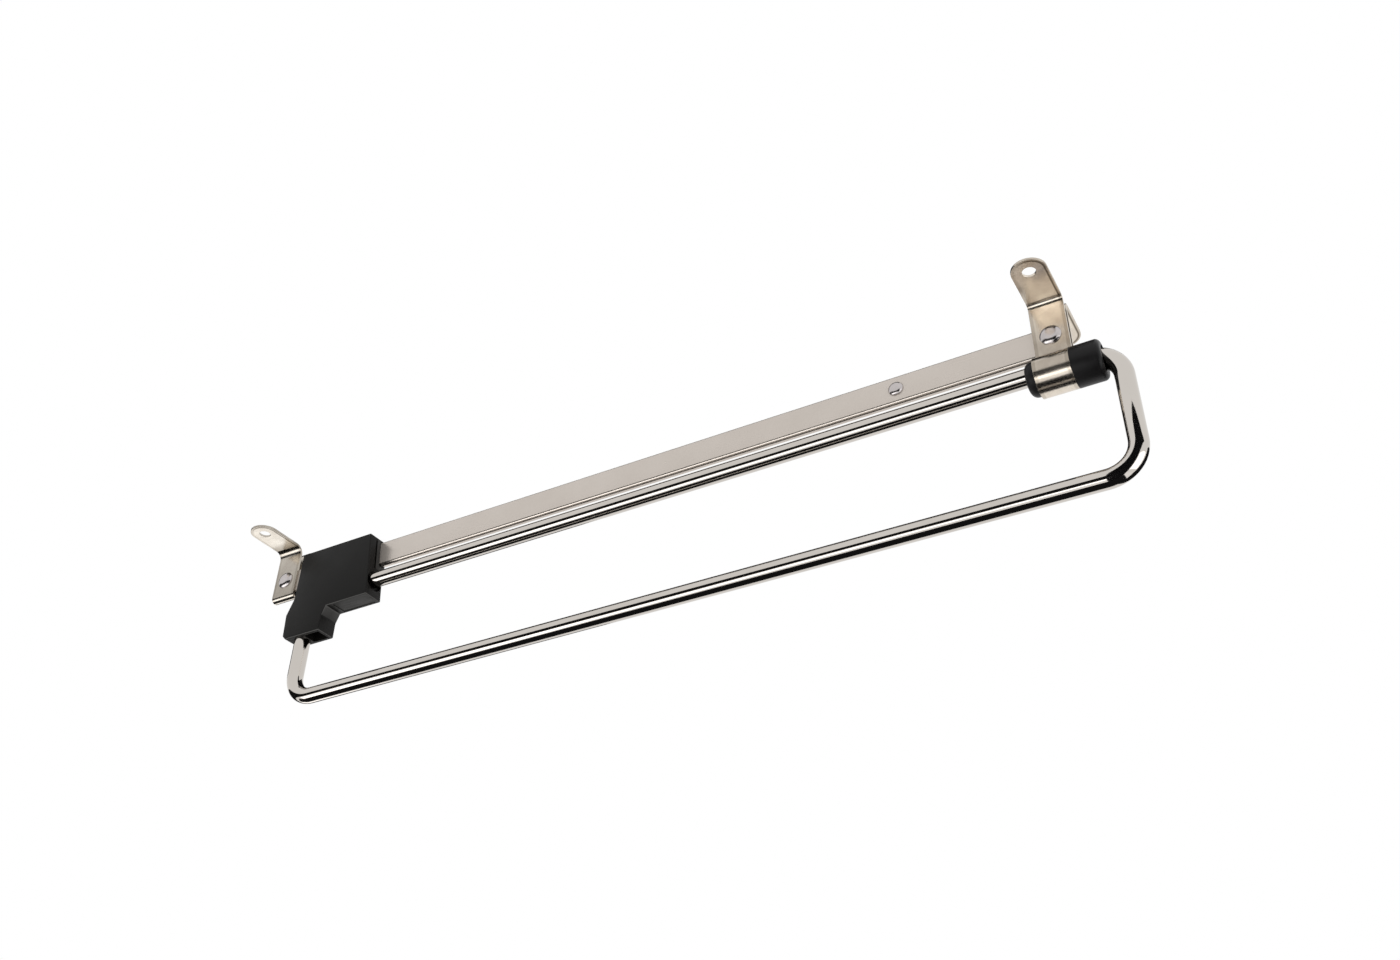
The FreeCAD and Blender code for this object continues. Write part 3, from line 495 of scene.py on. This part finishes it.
def draw_wire(radius, x, z, moves, closed=False):
    """Round bar drawn in the wire's middle plane, from an end that faces along the rail."""
    bm = bmesh.new()
    facing = Matrix.Translation(Vector((x, rod_y, z)) * MM) @ Matrix.Rotation(math.pi / 2, 4, "Y")
    bmesh.ops.create_circle(bm, segments=64, radius=radius * MM, matrix=facing)
    start = bm.edges[:]
    end = carry(bm, bm.verts[:] + start, moves, along, (0, 1, 0))
    if closed:
        bmesh.ops.remove_doubles(bm, verts=bm.verts, dist=0.02 * MM)
    else:
        for rim in (start, [item for item in end if isinstance(item, bmesh.types.BMEdge)]):
            bmesh.ops.contextual_create(bm, geom=rim)
    bmesh.ops.recalc_face_normals(bm, faces=bm.faces)
    return bm


def put_in_order(bm):
    """Numbers a solid's corners, edges and faces by their places, so that every run is alike."""
    slant = Vector((0.755, 0.570, 0.325)).normalized()
    bm.verts.sort(key=lambda corner: corner.co.dot(slant))
    bm.edges.sort(key=lambda edge: (edge.verts[0].co + edge.verts[1].co).dot(slant))
    bm.faces.sort(key=lambda face: face.calc_center_median().dot(slant))


def shape_with(bm, operation, *tools):
    """Cuts tools out of a solid, or joins them to it, and uses the tools up."""
    objects = []
    for solid in (bm, *tools):
        mesh = bpy.data.meshes.new("blank")
        solid.to_mesh(mesh)
        solid.free()
        objects.append(bpy.data.objects.new("blank", mesh))
        bpy.context.scene.collection.objects.link(objects[-1])
    for tool in objects[1:]:
        step = objects[0].modifiers.new("step", "BOOLEAN")
        step.operation = operation
        step.solver = "MANIFOLD"
        step.object = tool
    result = bmesh.new()
    result.from_object(objects[0], bpy.context.evaluated_depsgraph_get())
    for item in objects:
        mesh = item.data
        bpy.data.objects.remove(item)
        bpy.data.meshes.remove(mesh)
    put_in_order(result)
    bmesh.ops.remove_doubles(result, verts=result.verts, dist=0.02 * MM)
    bmesh.ops.dissolve_degenerate(result, edges=result.edges, dist=0.01 * MM)
    put_in_order(result)
    return result


def moulded(name, dark, light, rough, texture_scale, bump, shine):
    """Black moulded plastic: a fine spark-eroded texture, with a little haze from handling."""
    material, tree, shader = new_material(name)
    place = tree.nodes.new("ShaderNodeTexCoord")
    texture = tree.nodes.new("ShaderNodeTexNoise")
    texture.inputs["Scale"].default_value = texture_scale
    texture.inputs["Detail"].default_value = 4
    haze = tree.nodes.new("ShaderNodeTexNoise")
    haze.inputs["Scale"].default_value = 110
    haze.inputs["Detail"].default_value = 5
    for noise in (texture, haze):
        tree.links.new(place.outputs["Object"], noise.inputs["Vector"])
    tone = ramp(tree, haze.outputs["Fac"], [(0.35, dark), (0.7, light)])
    tree.links.new(tone, shader.inputs["Base Color"])
    gloss = ramp(tree, haze.outputs["Fac"], [(0.3, grey(rough[0])), (0.7, grey(rough[1]))])
    tree.links.new(gloss, shader.inputs["Roughness"])
    rippled(tree, texture.outputs["Fac"], strength=bump, depth=0.03)
    shader.inputs["Specular IOR Level"].default_value = shine
    return material


bushing_plastic = moulded(
    "bushing plastic", dark=(0.007, 0.0065, 0.007), light=(0.011, 0.0105, 0.011),
    rough=(0.34, 0.46), texture_scale=2200, bump=0.35, shine=0.18)
bushing_radius, head_radius = 6.45, 7.5
collar_length, head_length = 3.6, 10.5
collar_start = column - strap_half - collar_length
head_start = column + strap_half
head_end = head_start + head_length
collar_round, head_round = 2.5, 1.8
bushing = lathe((0, collar_start), [
    ("run", bushing_radius - collar_round, 0),
    ("turn", bushing_radius - collar_round, collar_start + collar_round, 90),
    ("run", 0, head_start - collar_start - collar_round),
    ("run", head_radius - bushing_radius, 0),
    ("run", 0, head_end - head_start - head_round),
    ("turn", head_radius - head_round, head_end - head_round, 90),
    ("run", head_round - head_radius, 0),
], steps=96)
shift(bushing, 0, rod_y, ring_z, Matrix.Rotation(-math.pi / 2, 4, "Z"))
front_leg = 206.15
front_bend = 11.0
bend_start = front_leg - front_bend
bore_radius, relief_radius = 3.58, 3.9
bore = draw_wire(bore_radius, collar_start - 2, rod_z, [("run", bend_start - collar_start + 20, 0)])
relief = draw_wire(relief_radius, bend_start - 1, rod_z, [
    ("run", 1, 0),
    ("turn", bend_start, rod_z - front_bend, 90),
])
bushing = shape_with(bushing, "DIFFERENCE", bore, relief)
make_piece("front_bushing_sleeve", bushing, "mounting",
           ["front_bushing"], bushing_plastic)


# ---------------------------------------------------------------------------------------------
# Wire loop. One length of hard drawn steel wire bent to a closed rectangle, polished and chrome
# plated. Its upper rod runs through the bushing and its upper rear bend is clamped in the
# slider. Drawn lines along the wire only just dull the mirror.
wire_chrome, tree, shader = new_material("wire chrome")
grain = grained(tree, line_scale=1500, cloud_scale=30, stretch=(0.02, 1, 0.02))
tone = ramp(tree, grain["Clouds"], [(0.3, (0.56, 0.525, 0.485)), (0.7, (0.60, 0.565, 0.525))])
tree.links.new(tone, shader.inputs["Base Color"])
gloss = ramp(tree, grain["Lines"], [(0.3, grey(0.045)), (0.75, grey(0.09))])
tree.links.new(gloss, shader.inputs["Roughness"])
rippled(tree, grain["Clouds"], strength=0.06, depth=0.02)
shader.inputs["Metallic"].default_value = 1
wire_radius = 3.5
rear_leg = -162.85
loop_height = 50.1
bar_z = rod_z - loop_height
hidden_bend, lower_bend = 10.0, 12.0
rod_start = rear_leg + hidden_bend
loop = draw_wire(wire_radius, rod_start, rod_z, [
    ("run", bend_start - rod_start, 0),
    ("turn", bend_start, rod_z - front_bend, 90),
    ("run", 0, bar_z + lower_bend - rod_z + front_bend),
    ("turn", front_leg - lower_bend, bar_z + lower_bend, 90),
    ("run", rear_leg - front_leg + 2 * lower_bend, 0),
    ("turn", rear_leg + lower_bend, bar_z + lower_bend, 90),
    ("run", 0, rod_z - hidden_bend - bar_z - lower_bend),
    ("turn", rod_start, rod_z - hidden_bend, 90),
], closed=True)
make_piece("wire_loop_bent", loop, "carriage",
           ["wire_rod", "wire_front_end", "wire_bar", "wire_rear_end"], wire_chrome,
           smooth_below=80)


# ---------------------------------------------------------------------------------------------
# Slider. Two black moulded shells that meet on the wire's middle plane and clamp its upper
# rear bend; the rear shell also reaches round the rail. A foot follows the wire down and is
# cored out beside it.
slider_plastic = moulded(
    "slider plastic", dark=(0.007, 0.0066, 0.0062), light=(0.010, 0.0096, 0.009),
    rough=(0.36, 0.50), texture_scale=1500, bump=0.45, shine=0.12)
slider_wall = 1.4
shell = wire_radius + slider_wall
rear_reach, slider_length, slider_draft = 5.2, 40.5, 3.2
slider_left = rear_leg - rear_reach
slider_right = slider_left + slider_length
slider_toe = slider_right + slider_draft
roof, belly_drop, foot_drop = 0.9, 9.1, 20.8
slider_top = rail_top + roof
belly_z = rod_z - belly_drop
foot_z = rod_z - foot_drop
throat_reach, heel_reach, throat_height = 15.3, 13.5, 4.4
hump_back, hump_z = 2.45, -25.55
draft = slider_draft / (slider_top - belly_z)
side_outline = [
    (slider_left, slider_top),
    (slider_right, slider_top),
    (slider_toe, belly_z),
    (rear_leg + throat_reach, belly_z),
    (rear_leg + heel_reach, belly_z - throat_height),
    (rear_leg + heel_reach, foot_z),
    (rear_leg - 6.3, foot_z),
    (rear_leg - 8.1, foot_z + 1.8),
    (rear_leg - 8.7, rod_z - 8.3),
    (rear_leg - 5.6, rod_z - 0.5),
]


def slab(outline, near_y, far_y, radius):
    """Moulded block from a side outline, with every edge but those of its near face rounded."""
    bm = bmesh.new()
    face = bm.faces.new([bm.verts.new(Vector((x, near_y, z)) * MM) for x, z in outline])
    far = bmesh.ops.extrude_face_region(bm, geom=[face])["geom"]
    corners = [item for item in far if isinstance(item, bmesh.types.BMVert)]
    bmesh.ops.translate(bm, verts=corners, vec=Vector((0, far_y - near_y, 0)) * MM)
    bmesh.ops.recalc_face_normals(bm, faces=bm.faces)
    rounded = dict.fromkeys(edge for corner in corners for edge in corner.link_edges)
    bmesh.ops.bevel(
        bm, geom=list(rounded), offset=radius * MM, offset_type="OFFSET", affect="EDGES",
        segments=4, profile=0.5, material=-1)
    return bm


def block(low, high):
    """Plain cutter between two corners."""
    bm = bmesh.new()
    low, high = Vector(low), Vector(high)
    size = Matrix.Diagonal((*(high - low), 1))
    bmesh.ops.create_cube(bm, size=MM, matrix=Matrix.Translation((low + high) / 2 * MM) @ size)
    return bm


def post(x, z, near_y, far_y, radius):
    """Round cutter through the shells."""
    bm = bmesh.new()
    middle = Matrix.Translation(Vector((x, (near_y + far_y) / 2, z)) * MM)
    upright = Matrix.Rotation(math.pi / 2, 4, "X")
    bmesh.ops.create_cone(
        bm, cap_ends=True, segments=40, radius1=radius * MM, radius2=radius * MM,
        depth=abs(far_y - near_y) * MM, matrix=middle @ upright)
    return bm


def shell_tools():
    """Wire channel with its wider mouth, pocket in the foot, sunk panel and parting groove."""
    grip_gap, mouth_depth, mouth_wall = 0.06, 1.5, 0.5
    channel = draw_wire(wire_radius + grip_gap, slider_toe + 5, rod_z, [
        ("run", rod_start - slider_toe - 5, 0),
        ("turn", rod_start, rod_z - hidden_bend, -90),
        ("run", 0, foot_z - 5 - rod_z + hidden_bend),
    ])
    mouth_x = slider_right + draft * (slider_top - rod_z) - mouth_depth
    mouth = draw_wire(shell - mouth_wall, mouth_x, rod_z, [("run", 8, 0)])
    drop = draw_wire(shell - mouth_wall, mouth_x, rod_z - 1, [("run", 8, 0)])
    pocket_wall, panel_wall, panel_depth = 1.5, 1.1, 0.3
    pocket = block((rear_leg + wire_radius + 0.3, rod_y - shell + pocket_wall, foot_z - 1),
                   (rear_leg + 12.2, rod_y + shell - pocket_wall, foot_z + 7.5))
    panel = block((rear_leg + 18.5, rod_y - shell + panel_wall, belly_z - 1),
                  (slider_toe - 1.7, rod_y + shell - panel_wall, belly_z + panel_depth))
    seam = block((slider_right - 3, rod_y - 0.9, rod_z + 6.2),
                 (slider_toe + 1, rod_y - 0.1, slider_top - 1.4))
    return [channel, mouth, drop, pocket, panel, seam]


tree = slider_plastic.node_tree
spot, facing = axes_of(tree, "Object"), axes_of(tree, "Normal")
squeeze = tree.nodes.new("ShaderNodeMapping")
squeeze.inputs["Scale"].default_value = (0.06, 1, 1)
place = tree.nodes.new("ShaderNodeTexCoord")
tree.links.new(place.outputs["Object"], squeeze.inputs["Vector"])
brush = tree.nodes.new("ShaderNodeTexNoise")
brush.inputs["Scale"].default_value = 1900
brush.inputs["Detail"].default_value = 3
tree.links.new(squeeze.outputs["Vector"], brush.inputs["Vector"])
# Painted light: the belly's downward faces carry a painted sheen in brushed streaks, the lower
# edges a painted highlight, and the end face of the rear shell above the rod is painted paler as if
# lit.
# Painted sheen on the belly's downward faces, streaked by the stretched noise.
belly_sheen = overlap(
    tree, spread(tree, spot["X"], (rear_leg + 16) * MM, (rear_leg + 18) * MM),
    spread(tree, facing["Z"], -0.75, -0.95), brush.outputs["Fac"])
sideways = calculate(tree, "ADD", *(calculate(tree, "ABSOLUTE", facing[axis]) for axis in "XY"))
# Painted highlight on the lower bevelled edges.
lower_edge_highlight = spread(tree, calculate(tree, "MULTIPLY", sideways, facing["Z"]), -0.25, -0.5)
# Painted light: the rear shell's end face above the rod is painted paler as if lit.
rear_end_light = overlap(
    tree, spread(tree, spot["Y"], (rod_y - 0.1) * MM, (rod_y + 0.1) * MM, top=0.45),
    spread(tree, spot["Z"], (rod_z + 6) * MM, (rod_z + 7) * MM),
    spread(tree, facing["X"], 0.8, 0.95))
painted_pale = calculate(tree, "MAXIMUM", calculate(tree, "MAXIMUM", belly_sheen, lower_edge_highlight), rear_end_light)
tinted(tree, painted_pale, (0.085, 0.083, 0.080), blend="MIX")

edge_radius, fine_edge = 0.5, 0.22
front_shell = slab(side_outline, rod_y, rod_y - shell, edge_radius)
front_shell = shape_with(front_shell, "DIFFERENCE", *shell_tools())
front_shell = make_piece("slider_front_half", front_shell, "carriage",
                         ["slider_front_shell"], slider_plastic)
soften(front_shell, fine_edge, 50)

hump_outline = [
    (slider_left, slider_top),
    (slider_right, slider_top),
    (slider_right + draft * (slider_top - hump_z), hump_z),
    (slider_left, hump_z),
]
rear_shell = slab(side_outline, rod_y, rod_y + shell, edge_radius)
hump = slab(hump_outline, rod_y, hump_back, edge_radius)
rear_shell = shape_with(rear_shell, "UNION", hump)
screws = [(slider_toe - 8.5, belly_z + 2.8), (rear_leg + hidden_bend, rod_z - hidden_bend)]
slot_gap = 0.15
slot = block((slider_left - 5, rail_front - slot_gap, rail_bottom - slot_gap),
             (slider_toe + 5, rail_back + slot_gap, rail_top + slot_gap))
shell_back = rod_y + shell
seat_depth, seat_radius = 1.4, 2.2
seats = [post(x, z, shell_back - seat_depth, shell_back + 3, seat_radius) for x, z in screws]
rear_shell = shape_with(rear_shell, "DIFFERENCE", slot, *seats, *shell_tools())
rear_shell = make_piece("slider_rear_half", rear_shell, "carriage",
                        ["slider_rear_shell"], slider_plastic)
soften(rear_shell, fine_edge, 50)


# ---------------------------------------------------------------------------------------------
# Slider screws. Two small zinc-plated pan-head screws with crossed slots. They are sunk into the
# rear shell from behind and hold the two shells together on the wire.
screw_zinc = plated(
    "screw zinc", dark=(0.50, 0.50, 0.51), light=(0.58, 0.58, 0.59), rough=(0.25, 0.35),
    line_scale=1200, stretch=(1, 1, 1), cloud_scale=300, bump=0.4)
shank_radius, shank_length = 1.1, 6.9
cap_radius, cap_rim, cap_round = 2.1, 0.6, 0.8
screw_pair = bmesh.new()
for x, z in screws:
    cap = lathe((0, -shank_length - cap_rim - cap_round), [
        ("run", shank_radius, 0),
        ("run", 0, shank_length),
        ("run", cap_radius - shank_radius, 0),
        ("run", 0, cap_rim),
        ("turn", cap_radius - cap_round, -cap_round, 90),
        ("run", cap_round - cap_radius, 0),
    ], steps=40)
    shift(cap, x, shell_back, z)
    slots = [block((x - wide, shell_back - 0.9, z - high), (x + wide, shell_back + 1, z + high))
             for wide, high in ((1.25, 0.25), (0.25, 1.25))]
    cap = shape_with(cap, "DIFFERENCE", *slots)
    mesh = bpy.data.meshes.new("cap")
    cap.to_mesh(mesh)
    cap.free()
    screw_pair.from_mesh(mesh)
    bpy.data.meshes.remove(mesh)
make_piece("slider_screw_pair", screw_pair, "carriage",
           ["slider_screws"], screw_zinc)


# ---------------------------------------------------------------------------------------------
# Studio. A white surround and a plain pale floor below the hanging part. Soft boxes stand low
# in front, beyond the pull-out end and behind the far end; only mirrors see the black cards.
def level_sheet(near, far, z):
    """Flat rectangle between two corners."""
    bm = bmesh.new()
    bm.faces.new([bm.verts.new(corner) for corner in (
        (*near, z), (far[0], near[1], z), (*far, z), (near[0], far[1], z))])
    return bm


def stage_sheet(name, bm, material):
    """Floor or card of the studio, which is no part of the object."""
    mesh = bpy.data.meshes.new(name)
    bm.to_mesh(mesh)
    bm.free()
    sheet = bpy.data.objects.new(name, mesh)
    sheet.data.materials.append(material)
    bpy.context.scene.collection.objects.link(sheet)
    return sheet


def lamp(name, place, target, width, height, strength):
    """Soft box that faces a target; its strength is its brightness, whatever its size."""
    light = bpy.data.lights.new(name, "AREA")
    light.shape = "RECTANGLE"
    light.size, light.size_y = width, height
    light.energy = math.pi * width * height * strength
    box = bpy.data.objects.new(name, light)
    box.location = place
    box.rotation_euler = (Vector(target) - Vector(place)).to_track_quat("-Z", "Y").to_euler()
    bpy.context.scene.collection.objects.link(box)


def seen_directly(tree):
    """Mask of the rays that show a surface itself: from the camera, in a mirror, through glass."""
    seen = tree.nodes.new("ShaderNodeLightPath")
    mask = seen.outputs["Is Camera Ray"]
    for kind in ("Is Glossy Ray", "Is Transmission Ray"):
        mask = calculate(tree, "MAXIMUM", mask, seen.outputs[kind])
    return mask


floor_paint, tree, shader = new_material("floor")
place = tree.nodes.new("ShaderNodeTexCoord")
speckle = tree.nodes.new("ShaderNodeTexNoise")
speckle.inputs["Scale"].default_value = 6
tree.links.new(place.outputs["Object"], speckle.inputs["Vector"])
tone = ramp(tree, speckle.outputs["Fac"], [(0.3, grey(0.80)), (0.7, grey(0.83))])
tree.links.new(tone, shader.inputs["Base Color"])
shader.inputs["Roughness"].default_value = 0.7
shader.inputs["Specular IOR Level"].default_value = 0
shader.inputs["Emission Color"].default_value = (1, 1, 1, 1)
glow = calculate(tree, "MULTIPLY", seen_directly(tree), 0.42)
tree.links.new(glow, shader.inputs["Emission Strength"])
floor_z = -1.0
stage_sheet("floor", level_sheet((-6, -6), (6, 6), floor_z), floor_paint)

card_black, tree, shader = new_material("black card")
shader.inputs["Base Color"].default_value = (0.012, 0.012, 0.013, 1)
shader.inputs["Roughness"].default_value = 0.9
shader.inputs["Specular IOR Level"].default_value = 0
low_card = stage_sheet("card_below", level_sheet((-2.4, -0.6), (0.7, 0.72), floor_z + 0.02),
                       card_black)
card_reach = 1.25


def level_at(azimuth, line):
    """Elevation of a line of (azimuth, elevation) points."""
    for (left, low), (right, high) in zip(line, line[1:]):
        if azimuth <= right:
            return low + (high - low) * (azimuth - left) / (right - left)


def round_card(foot, top):
    """Upright card bent round the part, between two lines of (azimuth, elevation)."""
    bm = bmesh.new()
    first, last = foot[0][0], foot[-1][0]
    steps = round((last - first) / 5)
    rows = []
    for line in (foot, top):
        row = []
        for step in range(steps + 1):
            azimuth = first + (last - first) * step / steps
            turn = math.radians(azimuth)
            rise = math.tan(math.radians(level_at(azimuth, line)))
            row.append(bm.verts.new(Vector((math.sin(turn), -math.cos(turn), rise)) * card_reach))
        rows += [bm.edges.new(pair) for pair in zip(row, row[1:])]
    bmesh.ops.bridge_loops(bm, edges=rows)
    return bm


front_card = stage_sheet("card_in_front", round_card(
    [(-150, -14), (-45, -15), (-36, -21), (-28, -27), (40, -29)],
    [(-150, 6), (-45, 7), (-25, 9), (-14, 6), (40, 4)]), card_black)


def flat_card(name, y, outline):
    """Small upright card beside the front bend, from its outline in X and Z."""
    bm = bmesh.new()
    bm.faces.new([bm.verts.new((x, y, z)) for x, z in outline])
    return stage_sheet(name, bm, card_black)


near_card = flat_card("card_at_front_bend", -0.04, [
    (0.190, -0.150), (0.190, -0.052), (0.200, -0.042), (0.222, -0.032), (0.255, -0.029),
    (0.310, -0.036), (0.262, -0.056), (0.242, -0.070), (0.235, -0.090), (0.228, -0.150)])
rear_card = flat_card("card_behind_front_bend", 0.04, [
    (0.206, -0.165), (0.285, -0.165), (0.300, -0.055), (0.206, -0.055)])
high_card = stage_sheet("card_above", level_sheet((-2.6, -0.14), (0.3, 1.1), 1.0), card_black)
for card in (low_card, front_card, near_card, rear_card, high_card):
    card.visible_camera = False
    card.visible_diffuse = False
    card.visible_shadow = False
    card.visible_transmission = False

lamp("soft_box_low", (-0.55, -0.95, -0.69), (-0.05, 0, -0.05), width=1.7, height=0.48, strength=1.5)
lamp("soft_box_side", (1.2, -0.25, -0.44), (0.1, 0, -0.05), width=1.2, height=0.8, strength=1.1)
lamp("soft_box_far", (-1.55, 0.95, -0.75), (-0.18, 0, -0.02), width=0.6, height=0.5, strength=1.0)

world = bpy.data.worlds.new("surround")
bpy.context.scene.world = world
world.use_nodes = True
tree = world.node_tree
soft_sky = tree.nodes["Background"]
backdrop = tree.nodes.new("ShaderNodeBackground")
for sky, strength in ((soft_sky, 0.75), (backdrop, 1)):
    sky.inputs["Color"].default_value = (1, 1, 1, 1)
    sky.inputs["Strength"].default_value = strength
blend = tree.nodes.new("ShaderNodeMixShader")
tree.links.new(seen_directly(tree), blend.inputs["Fac"])
tree.links.new(soft_sky.outputs[0], blend.inputs[1])
tree.links.new(backdrop.outputs[0], blend.inputs[2])
tree.links.new(blend.outputs[0], tree.nodes["World Output"].inputs["Surface"])
bpy.context.scene.view_settings.view_transform = "Standard"


# ---------------------------------------------------------------------------------------------
# Camera. It looks up at the part from below and from the pull-out end, and leans by a degree.
# Its focal length is given in pixels of a frame that is 1400 pixels wide.
camera_azimuth, camera_elevation = math.radians(30.10), math.radians(-34.52)
camera_roll = math.radians(0.99)
frame_width, focal_length = 1400, 1352.57
lens = bpy.data.cameras.new("camera")
lens.sensor_width = 36
lens.lens = 36 * focal_length / frame_width
lens.clip_start = 0.01
camera = bpy.data.objects.new("camera", lens)
back = Vector((math.sin(camera_azimuth) * math.cos(camera_elevation),
               -math.cos(camera_azimuth) * math.cos(camera_elevation),
               math.sin(camera_elevation)))
level = Vector((math.cos(camera_azimuth), math.sin(camera_azimuth), 0))
upright = back.cross(level)
right = level * math.cos(camera_roll) + upright * math.sin(camera_roll)
up = upright * math.cos(camera_roll) - level * math.sin(camera_roll)
turned = Matrix((right, up, back)).transposed().to_4x4()
camera.matrix_world = Matrix.Translation((0.26056, -0.38255, -0.33506)) @ turned
bpy.context.scene.collection.objects.link(camera)
bpy.context.scene.camera = camera
